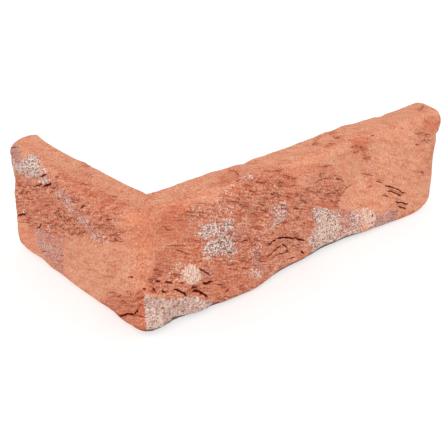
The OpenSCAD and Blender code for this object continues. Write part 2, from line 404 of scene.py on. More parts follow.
LIME_ZONES = [
    ([(-126, 49), (-112, 49), (-104, 51), (-97, 54), (-90, 56), (-84, 57.5), (-78, 61), (-80, 64),
      (-85, 67.5),
      (-92, 68.5), (-99, 67), (-101, 62), (-106, 58.5), (-112, 56), (-126, 55)], 5, 0.9),
    ([(-90, 50), (-84, 55), (-77, 60), (-73, 58.5), (-80, 54.5), (-87, 51)], 3, 0.9),
    ([(-126, 22), (-117, 24), (-112, 26), (-116, 28), (-126, 26)], 4, 0.6),
    ([(-70, 53), (-66, 58), (-60, 60), (-56, 58), (-62, 54)], 5, 0.4),
    ([(-61, 49), (-59, 54), (-54, 53.5), (-53, 50), (-57, 48)], 4, 0.5),
    ([(-48, 46), (-44, 50.5), (-38, 50.5), (-38, 47.5), (-43, 45)], 4, 0.5),
    ([(-40, 50), (-34, 54), (-30, 52), (-34, 49.5)], 4, 0.3),
    ([(-35, 43.5), (-30, 47), (-25, 47), (-26, 44.5), (-31, 42.5)], 4, 0.45),
    ([(-94, 12), (-84, 16), (-82, 20), (-92, 18)], 5, 0.3),
    ([(-92, 5), (-78, 6), (-78, 9), (-90, 9)], 4, 0.3),
    ([(17, 27), (19, 34), (24, 34.5), (26, 28), (23, 24)], 4, 0.4),
    ([(34, 46), (37, 49), (46, 48.5), (54, 47.5), (56, 44), (53, 41), (48, 41), (43, 41.5),
      (36, 43)], 6, 1.05),
    ([(36, 40), (42, 41), (48, 42), (54, 39), (56, 35), (59, 31), (60, 27), (54, 27), (48, 30), (41, 32.5),
      (36, 32.5), (35, 36)], 6, 1.0),
    ([(30, 50), (30, 60), (50, 58), (56, 50), (46, 49)], 8, 0.3),
    ([(67, 21), (67, 28), (73, 30), (75, 25), (72, 20)], 4, 0.45),
    ([(66, 15), (70, 17), (77, 8), (73, 5), (68, 10)], 4, 0.6),
    ([(82, 2), (83, 7.5), (88, 8), (90, 2)], 4, 0.45),
    ([(64, 63.5), (65, 68), (70, 68.5), (71, 64)], 3, 0.6),
    ([(52, 60), (52, 66), (57, 66), (57, 60)], 4, 0.35),
    ([(82, 33), (81, 46), (86, 49), (92, 46), (94, 36), (89, 32)], 5, 0.55),
    ([(114, 34), (120, 31.5), (127, 28.5), (135, 25), (141, 20), (142, 12), (140, 4), (132, -6),
      (121, -6), (118, 6),
      (113, 14), (118, 22)], 4, 1.4),
    ([(120, 7), (136, 7), (150, 5), (160, 5), (160, -8), (120, -8)], 4, 1.4),
    ([(142, 14), (148, 12), (160, 5), (156, -2), (140, 0)], 5, 0.7),
    ([(150, 18), (156, 19), (164, 16.5), (166, 9), (158, 6), (150, 9)], 4, 0.6),
    ([(170, 6), (180, 5), (192, 2), (190, -6), (170, -6)], 4, 0.55),
]
MORTAR_ZONES = [
    ([(0.3, 24.5), (5, 22.5), (10, 20), (15, 17.3), (20, 15.2), (26, 14), (32, 12), (37, 8.5), (42, 6),
      (43, -14), (0.3, -14)], 1.6, 1.0),
]
CREAM_ZONES = [
    ([(24, 28.5), (25.5, 31), (28, 31.6), (30.5, 30.5), (32.5, 28), (34, 25), (34.5, 22.8), (33, 21),
      (30.5, 20.4), (28, 21), (26, 23), (24.3, 26)], 1.8, 1.0),
    ([(129, 27), (133, 25), (139, 20), (141, 14), (139, 8), (134, 6), (130, 10), (129, 18)], 4, 0.6),
    ([(120, 30), (130, 27), (131, 12), (136, 4), (126, 0), (121, 6), (118, 14)], 5, 0.65),
    ([(160, 17), (167, 15.5), (171, 11), (170, 6), (164, 5), (159, 9)], 4, 0.8),
]
VIOLET_ZONES = [
    ([(33, 48), (46, 50), (58, 46), (62, 32), (60, 26), (40, 31), (34, 36)], 6, 0.45),
    ([(-72, 53), (-66, 59), (-56, 59), (-52, 54), (-38, 51), (-24, 47), (-26, 44), (-36, 43),
      (-60, 49)], 5, 0.5),
    ([(66, 14), (67, 29), (74, 29), (78, 8), (73, 4)], 4, 0.5),
    ([(80, 33), (80, 47), (92, 47), (95, 35)], 5, 0.5),
    ([(62, 63), (64, 69), (72, 69), (72, 63)], 3, 0.5),
    ([(-126, 49), (-104, 51), (-90, 55), (-78, 60), (-80, 64), (-92, 68), (-101, 62), (-126, 56)], 5, 0.8),
    ([(-126, 68), (-112, 67.5), (-104, 64), (-102, 60), (-112, 56), (-126, 54)], 5, 0.8),
    ([(-98, 24), (-86, 25), (-70, 28), (-69.5, 6), (-80, 4), (-92, 6), (-98, 12)], 4, 0.6),
    ([(113, 35), (120, 32.5), (127, 29), (124, 24), (116, 26)], 4, 0.7),
    ([(139, 26), (145, 23), (152, 19.5), (150, 14), (145, 15), (140, 20)], 3, 0.5),
    ([(141, 15), (149, 18), (158, 14), (159, 6), (144, 7)], 4, 1.1),
    ([(168, 13), (180, 11.5), (190, 9), (192, 1), (169, 2)], 4, 1.2),
    ([(159, 45), (168, 45), (169, 41), (161, 41)], 4, 0.4),
    ([(35, 28), (40, 26), (41, 22), (37, 22)], 3, 0.5),
    ([(54, 42), (60, 38), (62, 33), (57, 32)], 4, 0.6),
    ([(176, 55), (182, 57), (186, 53), (178, 51)], 5, 0.3),
]

# Open gashes: the line along each, then its width and depth
GASHES = [
    ([(-122, 20), (-119, 21.5), (-115, 23.5), (-110, 25.5)], 1.2, 2.0),
    ([(-98, 21.8), (-94, 24), (-91.5, 26.5), (-90, 28)], 1.0, 1.6),
    ([(-85, 50.6), (-79, 53.8), (-75, 56), (-73, 57.5)], 1.1, 1.8),
    ([(-85.5, 56), (-82, 58), (-77, 61)], 0.9, 1.5),
    ([(-94, 47.5), (-90, 49.8), (-87, 51), (-83.5, 54)], 0.8, 1.2),
    ([(-70, 61), (-69.4, 62.4), (-68, 63.2)], 0.7, 1.0),
    ([(-46, 53.5), (-43, 55.5), (-41, 57)], 0.7, 1.0),
    ([(-40, 61), (-39.4, 63), (-38, 64.5)], 0.6, 0.8),
    ([(-24, 0), (-18, 6), (-14, 8.5), (-10, 10.5), (-5, 14)], 1.3, 2.2),
    ([(-10, 9.6), (-5, 10.4), (0, 11)], 0.5, 0.8),
    ([(-14, 21), (-12, 22.5)], 0.6, 0.8),
    ([(-12, 30), (-9, 31.5), (-6, 31.8)], 0.8, 1.2),
    ([(-1, 26.8), (2.5, 26)], 0.8, 1.0),
    ([(6.5, 26.2), (8, 25), (9.8, 23)], 1.1, 1.4),
    ([(12.2, 23.2), (13.8, 22), (15.4, 20.2)], 1.1, 1.4),
    ([(9.5, 29.3), (11, 28.4), (13, 27.2)], 1.1, 1.4),
    ([(14.2, 27.2), (17, 25.7), (19.6, 23.7)], 1.2, 1.5),
    ([(18.5, 21.6), (20.5, 20.4), (23, 18.8), (25, 16.6), (27.2, 14.2)], 1.2, 1.6),
    ([(28, 15.6), (31, 16), (34.4, 13.9), (36.5, 11.6), (39.4, 9)], 1.4, 2.0),
    ([(34.8, 19.8), (37.5, 17.9), (39, 18), (42, 17.6)], 1.5, 2.1),
    ([(28.2, 18.6), (30, 18.4), (33, 17.4)], 1.1, 1.3),
    ([(32.8, 28.4), (36, 25.4), (40.8, 20.8)], 0.8, 1.0),
    ([(22.6, 24.2), (24.6, 23)], 1.0, 1.2),
    ([(48.5, 8), (51, 8.6), (52, 10)], 0.8, 1.2),
    ([(50, 29.5), (52.5, 29.3), (55, 28.5)], 0.7, 1.1),
    ([(60, 31), (62.8, 31.8), (65.5, 32.4)], 0.9, 1.4),
    ([(78, 23.5), (83, 25), (87, 25), (91, 24), (98, 21), (104, 18), (112, 14)], 1.0, 1.8),
    ([(77, 16), (81, 17.5), (84, 18), (88, 18.5), (92, 20)], 0.9, 1.2),
    ([(90, 21), (94, 17.5), (97, 15)], 0.9, 1.2),
    ([(81.5, 14), (86, 14.6), (92, 13.6), (98, 11.6)], 0.8, 1.0),
    ([(95, 15), (100, 10)], 0.9, 1.2),
    ([(104, 14.2), (106, 13.5), (107.5, 12)], 1.0, 1.5),
    ([(99, 7), (105, 6)], 0.9, 1.1),
    ([(108, 9), (111, 6.5), (112.4, 4.5)], 1.1, 1.4),
    ([(80, 52.5), (84, 50.8)], 0.7, 1.0),
    ([(97, 39.4), (100, 38.4), (103.5, 36.8)], 0.6, 0.9),
    ([(140, 31.6), (142, 33), (145, 34.6), (149.5, 36.2)], 1.0, 1.3),
    ([(133, 46), (138, 43.5), (142, 40.5)], 0.6, 0.9),
    ([(163, 65.2), (165.4, 64.8), (166.6, 63.2)], 0.8, 1.1),
    ([(151, 60), (156, 58)], 0.6, 0.9),
    ([(169, 33), (172, 33), (176, 31)], 0.6, 0.9),
    ([(177, 29), (181, 28), (185, 26), (190, 23.5), (193, 21), (199, 18.5)], 0.8, 1.2),
    ([(175, 23.6), (178, 22.6), (182, 21)], 0.8, 0.9),
    ([(179, 26), (185, 23.2), (190, 20.4), (195, 17.4)], 0.9, 1.0),
    ([(187, 16), (194, 13.6), (203, 10)], 1.0, 1.3),
    ([(190, 12.2), (196, 9.8), (201, 7.6)], 0.9, 1.0),
    ([(209, 29.2), (211.5, 29), (214, 28)], 0.6, 0.9),
]

# Lips of the folded clay: the line along each, then its drop
LIPS = [
    ([(-116, 41), (-112, 42.5), (-106, 44)], 0.6),
    ([(-114, 47.5), (-108, 50), (-102, 52)], 0.7),
    ([(-116, 19.5), (-110, 20.5), (-106, 22)], 0.5),
    ([(-99, 44.5), (-94, 46.5), (-88, 48.4)], 0.5),
    ([(-73, 39), (-68, 40.6), (-62, 43.5)], 0.7),
    ([(-60, 34), (-55, 36), (-50, 38), (-45, 41)], 0.7),
    ([(-55, 38), (-50, 41), (-46, 43.5)], 0.6),
    ([(-34, 50), (-26, 53), (-20, 54)], 0.5),
    ([(-22, 46), (-15, 48.5), (-10, 50)], 0.5),
    ([(-30, 13), (-24, 17)], 0.5),
    ([(-8, 12), (-5, 16), (-1, 18)], 0.6),
    ([(17, 33), (20, 31.8)], 0.6),
    ([(18, 30.6), (22, 28.6)], 0.7),
    ([(19.5, 28.4), (23, 26.4)], 0.7),
    ([(10, 33), (14, 31)], 0.5),
    ([(8, 36), (13, 34)], 0.5),
    ([(69, 62.3), (73, 61), (76, 60)], 0.7),
    ([(83, 65), (88, 64.6), (92, 64.4)], 0.6),
    ([(85, 57), (91, 56)], 0.6),
    ([(92, 57), (97, 56.4), (101, 55.4)], 0.6),
    ([(94, 53), (98, 52)], 0.6),
    ([(81, 50), (85, 49.2), (88, 48.2)], 0.6),
    ([(86, 44.5), (92, 43)], 0.7),
    ([(87, 42.5), (90, 41.4), (95, 40)], 0.6),
    ([(98, 47), (101, 46.2)], 0.6),
    ([(101, 33), (104, 31.2)], 0.5),
    ([(111, 35), (116, 33.4)], 0.6),
    ([(115, 50), (125, 48), (132, 46.4)], 0.6),
    ([(122, 39.5), (128, 38.5), (133, 36.5), (137, 36)], 0.6),
    ([(129, 33), (133, 31.5)], 0.5),
    ([(144, 37), (147, 36), (151, 36.5)], 0.6),
    ([(144, 62.6), (147, 60.6)], 0.5),
    ([(147, 57.6), (153, 56)], 0.6),
    ([(158, 51), (163, 48)], 0.5),
    ([(154, 21), (157, 20.4)], 0.5),
    ([(162, 31.4), (168, 32)], 0.5),
    ([(189, 62.8), (191.4, 61.6)], 0.6),
    ([(203, 56), (212, 54.6)], 0.5),
    ([(213, 61.4), (217, 60.4)], 0.5),
    ([(214, 53), (222, 51)], 0.6),
    ([(206, 31.6), (211, 30.4)], 0.5),
    ([(214, 29), (220, 25.8)], 0.6),
    ([(56, 79), (61, 77), (63.6, 72), (64.4, 69)], 0.5),
    ([(59, 66.4), (63, 66.8)], 0.7),
    ([(120, 76), (124, 78)], 0.5),
    ([(130, 70), (134, 71)], 0.5),
    ([(137, 76), (139, 73.4), (142, 73)], 0.6),
    ([(219, 71), (225, 73.6), (231, 76.6)], 0.5),
]

# Round holes: place, radius and depth
PITS = [
    ((131.4, 21.6), 0.8, 1.0),
    ((133, 20.8), 0.7, 0.9),
    ((135.4, 18.6), 0.8, 1.0),
    ((138, 15), 0.7, 0.9),
    ((139, 10.6), 0.8, 0.9),
    ((163.6, 15.6), 0.7, 0.8),
    ((167.4, 12.8), 0.9, 1.0),
    ((167.8, 8), 0.9, 1.0),
    ((175, 6.4), 0.7, 0.8),
    ((-45, 50.5), 0.6, 0.6),
    ((-30.5, 9), 0.6, 0.6),
]


def smoothstep(low, high, x):
    """0 at low, 1 at high, and smooth between; low may be the larger."""
    t = np.clip((x - low) / (high - low), 0, 1)
    return t * t * (3 - 2 * t)


def fractal(points, size, octaves, seed):
    """Fixed noise of about -1 to 1 at rows of three numbers, in lumps of the given size."""
    shift = Vector([step * seed for step in SEED_STEPS])
    spots = [Vector(point) / size + shift for point in points.tolist()]
    return np.array([noise.fractal(spot, OCTAVE_FALL, OCTAVE_STEP, octaves) for spot in spots])


def blur(field, sigma, axis):
    """Gaussian blur of a grid along one axis, with its ends held."""
    reach = int(3 * sigma) + 1
    weights = np.exp(-0.5 * (np.arange(-reach, reach + 1) / sigma) ** 2)
    weights /= weights.sum()
    moved = np.moveaxis(field, axis, 0)
    padded = np.concatenate([moved[:1].repeat(reach, 0), moved, moved[-1:].repeat(reach, 0)])
    out = sum(w * padded[i:i + len(moved)] for i, w in enumerate(weights))
    return np.moveaxis(out, 0, axis)


def blur_both(field, sigma):
    """Blur of a grid along its ribs and its rows."""
    return blur(blur(field, sigma, 0), sigma, 1)


def blur_round(field, sigma):
    """Blur of a grid along its ribs, and round its rows without a break."""
    rows = field.shape[1]
    return blur_both(np.concatenate([field, field, field], 1), sigma)[:, rows:2 * rows]


def meeting_value(values, z):
    """Value that the two sides of an end face share at each height where they meet."""
    order = np.argsort(z)
    shared = np.empty_like(values)
    shared[order] = blur(values[order], MEETING_BLUR, 0)
    return shared


def plan_ribs(back, end):
    """Plan of the ribs from the header's end round the corner to the stretcher's end.

    Returns, for each rib, the outer point and direction, the inner point and direction, and the
    place along the outer skin.
    """
    out = back - LEG_T
    turn = out + CORNER_R
    stop = end - END_R
    header_n = round((stop[1] - turn[1]) / MESH_STEP)
    arc_n = 2 * round(math.pi / 4 * CORNER_R / MESH_STEP)
    stretcher_n = round((stop[0] - turn[0]) / MESH_STEP)
    ribs = []
    for y in np.linspace(stop[1], turn[1], header_n + 1)[:-1]:
        ribs.append(((out[0], y), (-1, 0), out[1] - y))
    for share in np.linspace(0, 1, arc_n + 1):
        angle = math.pi * (1 + share / 2)
        way = (math.cos(angle), math.sin(angle))
        point = (turn[0] + CORNER_R * way[0], turn[1] + CORNER_R * way[1])
        ribs.append((point, way, CORNER_R * (2 * share - 1)))
    for x in np.linspace(turn[0], stop[0], stretcher_n + 1)[1:]:
        ribs.append(((x, out[1]), (0, -1), x - out[0]))
    before = header_n + arc_n // 2
    after = len(ribs) - 1 - before
    inner = [(back[0], y) for y in np.linspace(stop[1], back[1], before + 1)]
    inner += [(x, back[1]) for x in np.linspace(back[0], stop[0], after + 1)[1:]]
    inner_way = [(1, 0)] * before + [(1, 1)] + [(0, 1)] * after
    outer, outer_way, place = zip(*ribs)
    return [np.array(a, float) for a in (outer, outer_way, inner, inner_way, place)]


def section_rows(height):
    """Rows round a leg's section, from the foot of the sawn back, under, up the face and over.

    Each row is (kind, share across the leg, height, outward weights towards face, up and back,
    inset from the face, inset from the back).
    """
    rows = []
    for share in np.linspace(0, 1, LOWER_BED_ROWS):
        rows.append((LOWER_BED, share, 0.0, (0, -1, 0), ARRIS_R, SAWN_R))
    turns = np.linspace(0, math.pi / 2, ARRIS_ROWS + 1)
    for a in turns[1:]:
        way = (math.sin(a), -math.cos(a), 0)
        rows.append((SKIN, 1.0, ARRIS_R * (1 - math.cos(a)), way, ARRIS_R * (1 - math.sin(a)), 0))
    face_n = round((height - 2 * ARRIS_R) / MESH_STEP)
    for z in np.linspace(ARRIS_R, height - ARRIS_R, face_n + 1)[1:-1]:
        rows.append((SKIN, 1.0, z, (1, 0, 0), 0, 0))
    for a in turns[:-1]:
        way = (math.cos(a), math.sin(a), 0)
        z = height - ARRIS_R * (1 - math.sin(a))
        rows.append((SKIN, 1.0, z, way, ARRIS_R * (1 - math.cos(a)), 0))
    for share in np.linspace(1, 0, UPPER_BED_ROWS):
        rows.append((UPPER_BED, share, height, (0, 1, 0), ARRIS_R, SAWN_R))
    for a in SAWN_TURNS:
        z = height - SAWN_R * (1 - math.cos(a))
        rows.append((SAWN_BACK, 0.0, z, (0, math.cos(a), math.sin(a)), 0, SAWN_R * (1 - math.sin(a))))
    for z in np.linspace(height - SAWN_R, SAWN_R, BACK_ROWS):
        rows.append((SAWN_BACK, 0.0, z, (0, 0, 1), 0, 0))
    for a in reversed(SAWN_TURNS):
        z = SAWN_R * (1 - math.cos(a))
        rows.append((SAWN_BACK, 0.0, z, (0, -math.cos(a), math.sin(a)), 0, SAWN_R * (1 - math.sin(a))))
    return rows


def nominal_grid(back, end, height):
    """Plain L as a grid of ribs by rows: points, outward directions, place, level and kinds."""
    outer, outer_way, inner, inner_way, place = plan_ribs(back, end)
    points, ways, level, kinds = [], [], [], []
    for kind, share, z, (face_w, up_w, back_w), face_inset, back_inset in section_rows(height):
        near = outer - face_inset * outer_way
        far = inner - back_inset * inner_way
        plan = near if kind == SKIN else far + (near - far) * share
        points.append(np.c_[plan, np.full(len(plan), z)])
        way = np.c_[face_w * outer_way + back_w * inner_way, np.full(len(plan), up_w)]
        ways.append(way / np.linalg.norm(way, axis=1)[:, None])
        on_bed = kind in (LOWER_BED, UPPER_BED)
        depth = ARRIS_R + (LEG_T - ARRIS_R) * (1 - share) if on_bed else face_inset
        on_skin = z + depth if z > height / 2 else z - depth
        level.append(OFF_SKIN if kind == SAWN_BACK else on_skin)
        kinds.append(kind)
    return np.stack(points, 1), np.stack(ways, 1), place, np.array(level), np.array(kinds)


def end_cap(section, out, kinds, forward, height):
    """Rings that round off a leg's end and close in on the middle line of its end face."""
    back = (kinds == SAWN_BACK)[:, None]
    radius = np.where(back, SAWN_R, END_R)
    middle = (section.max(0) + section.min(0)) / 2
    spine = np.repeat(middle[None], len(section), 0)
    spine[:, 2] = np.clip(section[:, 2], LEG_T / 2, height - LEG_T / 2)
    rings, directions = [], []
    for a in np.linspace(0, math.pi / 2, CAP_ARC + 1)[1:]:
        rings.append(section + END_R * math.sin(a) * forward - radius * (1 - math.cos(a)) * out)
        directions.append(np.where(back, 0, math.cos(a) * out) + math.sin(a) * forward)
    rim = rings[-1]
    for t in np.linspace(0, 1, CAP_FLAT + 2)[1:-1]:
        rings.append(rim + ((spine + END_R * forward) - rim) * t)
        directions.append(np.repeat(forward[None], len(section), 0))
    return np.stack(rings), np.stack(directions)


def capped_grid(back, end, height):
    """The plain L with its ends rounded off: points, outward directions, places, kinds and rings.

    The places are along the outer skin and up over it. The rings count from 0 on the legs to the
    middle of each end.
    """
    grid, ways, place, level, kinds = nominal_grid(back, end, height)
    north, north_ways = end_cap(grid[0], ways[0], kinds, np.array([0.0, 1, 0]), height)
    east, east_ways = end_cap(grid[-1], ways[-1], kinds, np.array([1.0, 0, 0]), height)
    points = np.concatenate([north[::-1], grid, east])
    ways = np.concatenate([north_ways[::-1], ways, east_ways])
    count = np.arange(1, len(north) + 1)
    ring = np.concatenate([count[::-1], np.zeros(len(place), int), count])
    beyond = count * (END_R + LEG_T / 2) / len(north)
    along = np.concatenate([place[0] - beyond[::-1], place, place[-1] + beyond])
    u = np.repeat(along[:, None], len(kinds), 1)
    v = np.repeat(level[None], len(along), 0)
    return points, ways, u, v, kinds, ring


def fit_to_solid(points, ways, skip):
    """Signed distance from each plain point to the solid along its outward direction.

    Points to skip, and those whose ray goes past the solid, take it from their neighbours.
    """
    solid = frame["nodes"][NODE].data
    corners = [vertex.co.copy() for vertex in solid.vertices]
    tree = BVHTree.FromPolygons(corners, [tuple(p.vertices) for p in solid.polygons])
    gaps = np.full(points.shape[:2], np.nan)
    for k in range(points.shape[0]):
        for j in np.flatnonzero(~skip[k]):
            way = Vector(ways[k, j])
            start = Vector(points[k, j]) + way * RAY_REACH
            hit = tree.ray_cast(start * MM, -way, 2 * RAY_REACH * MM)
            if hit[0] is not None:
                gaps[k, j] = RAY_REACH - hit[3] / MM
    known = ~np.isnan(gaps)
    weight = blur_both(known.astype(float), FILL_BLUR)
    spread = blur_both(np.where(known, gaps, 0), FILL_BLUR) / np.maximum(weight, LEAST_WEIGHT)
    return np.where(known, gaps, spread)


def base_skin():
    """The solid's surface on a fine grid of ribs by rows, with its facets smoothed out."""
    mounts = {m["name"]: m["pos_m"] for m in frame["record"]["mounts"]}
    back = np.array([mounts["header_back"][0], mounts["stretcher_back"][1]]) / MM
    high = np.array(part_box(NODE)[1]) / MM
    height = high[2] - BED_DROP
    points, ways, u, v, kinds, ring = capped_grid(back, high[:2], height)
    on_back = kinds == SAWN_BACK
    moulded = ~on_back
    sawn = on_back & (ring == 0)[:, None]
    arris = on_back & ((ring > 0) & (ring <= CAP_ARC))[:, None]
    gaps = fit_to_solid(points, ways, beside_gashes(u, v) | arris)
    gaps[sawn] = 0
    smooth = blur_round(gaps, FIT_BLUR)
    smooth[sawn] = 0
    skin = blur_both(gaps[:, moulded], FIT_BLUR) + swells(u, v, SWELLS)[:, moulded]
    round_end = smoothstep(0, CAP_ARC, ring)[:, None]
    smooth[:, moulded] = skin + (smooth[:, moulded] - skin) * round_end
    closed = np.clip((ring - CAP_ARC) / CAP_FLAT, 0, 1)[:, None]
    cap_n = CAP_ARC + CAP_FLAT
    for inmost, cap in ((0, slice(0, cap_n)), (-1, slice(-cap_n, None))):
        shared = meeting_value(smooth[inmost], points[inmost, :, 2])
        smooth[cap] += (shared - smooth[cap]) * closed[cap]
    base = points + ways * smooth[..., None]
    foot = np.flatnonzero(kinds == LOWER_BED)[0]
    top = np.flatnonzero(kinds == UPPER_BED)[-1]
    risen = points[cap_n, :, 2] / height
    low_z, high_z = base[:, foot, 2][:, None], base[:, top, 2][:, None]
    base[..., 2] = np.where(on_back, low_z + (high_z - low_z) * risen, base[..., 2])
    base[..., 2] = np.maximum(base[..., 2], 0)
    return base, u, v, kinds, ring


def depth_inside(u, v, outline):
    """Distance to an outline, positive inside it."""
    nearest = np.full(u.shape, np.inf)
    inside = np.zeros(u.shape, bool)
    for (u0, v0), (u1, v1) in zip(outline, outline[1:] + outline[:1]):
        du, dv = u1 - u0, v1 - v0
        t = np.clip(((u - u0) * du + (v - v0) * dv) / (du * du + dv * dv), 0, 1)
        nearest = np.minimum(nearest, np.hypot(u - u0 - t * du, v - v0 - t * dv))
        if dv:
            inside ^= ((v0 > v) != (v1 > v)) & (u < u0 + (v - v0) * du / dv)
    return np.where(inside, nearest, -nearest)


def window(u, v, line, margin):
    """Slices of the grid that hold a line and a margin around it."""
    points = np.array(line, float)
    low, high = points.min(0) - margin, points.max(0) + margin
    ribs = np.flatnonzero((u[:, 0] > low[0]) & (u[:, 0] < high[0]))
    rows = np.flatnonzero((v[0] > low[1]) & (v[0] < high[1]))
    return slice(ribs[0], ribs[-1] + 1), slice(rows[0], rows[-1] + 1)


def zones(u, v, shapes, ragged):
    """Soft mask of a list of zones, whose edges wander by the ragged distance."""
    mask = np.zeros_like(u)
    for outline, edge, strength in shapes:
        part = window(u, v, outline, edge + RAGGED_EDGE)
        depth = depth_inside(u[part], v[part], outline) + ragged[part] * min(1, edge / RAGGED_EDGE)
        inside = strength * smoothstep(-0.5 * edge, 0.5 * edge, depth)
        mask[part] = np.maximum(mask[part], inside)
    return mask


def swells(u, v, spots):
    """Sum of soft round swells and hollows."""
    height = np.zeros_like(u)
    for (cu, cv), (half_u, half_v), rise in spots:
        height += rise * np.exp(-((u - cu) / half_u) ** 2 - ((v - cv) / half_v) ** 2)
    return height


def along_line(u, v, line):
    """Distance to a bent line, how far past it upwards, and the share of its length gone."""
    points = np.array(line, float)
    steps = np.diff(points, axis=0)
    lengths = np.hypot(steps[:, 0], steps[:, 1])
    gone = np.concatenate([[0], np.cumsum(lengths)])
    best = np.full(u.shape, np.inf)
    above = np.zeros_like(u)
    share = np.zeros_like(u)
    for start, step, length, before in zip(points, steps, lengths, gone):
        du, dv = u - start[0], v - start[1]
        t = np.clip((du * step[0] + dv * step[1]) / length ** 2, 0, 1)
        distance = np.hypot(du - t * step[0], dv - t * step[1])
        side = (dv * step[0] - du * step[1]) / length
        nearer = distance < best
        best = np.where(nearer, distance, best)
        above = np.where(nearer, np.sign(side) * distance, above)
        share = np.where(nearer, (before + t * length) / gone[-1], share)
    return best, above, share


def take_nearer(part, distance, nearest, values):
    """Let a line give its values to the points that are nearer to it than to the lines before."""
    nearer = distance < nearest[part]
    nearest[part] = np.where(nearer, distance, nearest[part])
    for field, value in values:
        field[part] = np.where(nearer, value, field[part])


def beside_gashes(u, v):
    """Which points of the skin lie on a gash or right beside it."""
    near = np.zeros(u.shape, bool)
    for line, width, _ in GASHES:
        part = window(u, v, line, GASH_REACH)
        near[part] |= along_line(u[part], v[part], line)[0] < GASH_BESIDE + width
    return near


def cut_gashes(u, v, wobble):
    """Depth of the gashes, and for their painted shade the signed way across the nearest one and its half
    width.

    All are in millimetres, and a strength that fades at the ends of the gash comes with them.
    """
    depth = np.zeros_like(u)
    across = np.full(u.shape, FAR)
    half_width = np.zeros_like(u)
    strength = np.zeros_like(u)
    nearest = np.full(u.shape, np.inf)
    for line, width, deep in GASHES:
        part = window(u, v, line, GASH_REACH)
        distance, above, share = along_line(u[part], v[part], line)
        off = above + GASH_WANDER * wobble[part]
        length = np.hypot(*np.diff(np.array(line, float), axis=0).T).sum()
        tip = min(GASH_TIP, GASH_TIP_SHARE * length)
        taper = smoothstep(0, tip, length * np.minimum(share, 1 - share))
        half = GASH_HALF * width * taper * (1 + GASH_VARIES * wobble[part]) - GASH_NARROWER
        cut = np.exp(-(off / np.maximum(half, GASH_WALL)) ** 2) * smoothstep(0, 0.5, taper)
        depth[part] = np.maximum(depth[part], GASH_DEPTH * deep * cut)
        fade = min(1, GASH_FAINT + GASH_DARKENS * deep) * smoothstep(0, 0.2, taper)
        values = [(across, np.clip(off, -FAR, FAR)), (half_width, half), (strength, fade)]
        take_nearer(part, distance, nearest, values)
    return depth, across, half_width, strength


def drop_lips(u, v, lips, wobble):
    """Depth below the lips of the folds, and for their painted shade the signed way above the nearest lip.

    The way above is in millimetres, and comes with a strength that fades beside the lip.
    """
    depth = np.zeros_like(u)
    over = np.full(u.shape, FAR)
    strength = np.zeros_like(u)
    nearest = np.full(u.shape, np.inf)
    for line, drop in lips:
        part = window(u, v, line, LIP_REACH)
        distance, above, share = along_line(u[part], v[part], line)
        off = above + LIP_WANDER * wobble[part]
        taper = np.sqrt(np.clip(4 * share * (1 - share), 0, 1))
        fall = smoothstep(LIP_EDGE, -LIP_EDGE, off) * np.exp(-np.maximum(-off, 0) / LIP_RUN_OUT)
        fall *= taper * smoothstep(LIP_REACH, LIP_REACH / 2, distance)
        depth[part] = np.maximum(depth[part], drop * fall)
        fade = drop * taper * smoothstep(*LIP_SHADE_FADE, distance)
        take_nearer(part, distance, nearest, [(over, np.clip(off, -FAR, FAR)), (strength, fade)])
    return depth, over, strength


def bore_pits(u, v, pits):
    """Depth of the round pits in millimetres."""
    depth = np.zeros_like(u)
    for (cu, cv), radius, deep in pits:
        part = window(u, v, [(cu, cv)], PIT_REACH)
        away = np.hypot(u[part] - cu, v[part] - cv)
        depth[part] = np.maximum(depth[part], deep * np.exp(-(away / radius) ** 2))
    return depth


def loose_places(rng, u, v, mask, count):
    """Places on the skin, strewn more thickly where the mask is stronger."""
    share = np.where(v > 1, mask, 0).ravel()
    picks = rng.choice(share.size, count, p=share / share.sum())
    return np.c_[u.ravel()[picks], v.ravel()[picks]] + rng.uniform(-MESH_STEP / 2, MESH_STEP / 2, (count, 2))


def loose_lips(rng, places, drops):
    """Short lips at the given places, along the run of the folds, with drops in the given range."""
    lips = []
    for u, v in places:
        slope = -FOLD_SLOPE * math.copysign(1, u) + rng.normal(0, LIP_TURN)
        length = rng.uniform(*LIP_LENGTHS)
        bow = rng.normal(0, LIP_BOW)
        line = [(u - length, v - length * slope), (u, v + bow), (u + length, v + length * slope)]
        lips.append((line, rng.uniform(*drops)))
    return lips


def loose_pits(rng, places):
    """Small pits at the given places."""
    radii = rng.uniform(*PIT_RADII, len(places))
    return [(tuple(place), radius, radius) for place, radius in zip(places, radii)]


def painted_foot_shadow(u, v):
    """Strength of the painted contact shadow on the lower arris, from the corner along the stretcher."""
    along = smoothstep(*FOOT_START, u) * smoothstep(*FOOT_END, u)
    return along * smoothstep(*FOOT_TOP, v) * smoothstep(*FOOT_UNDER, v)


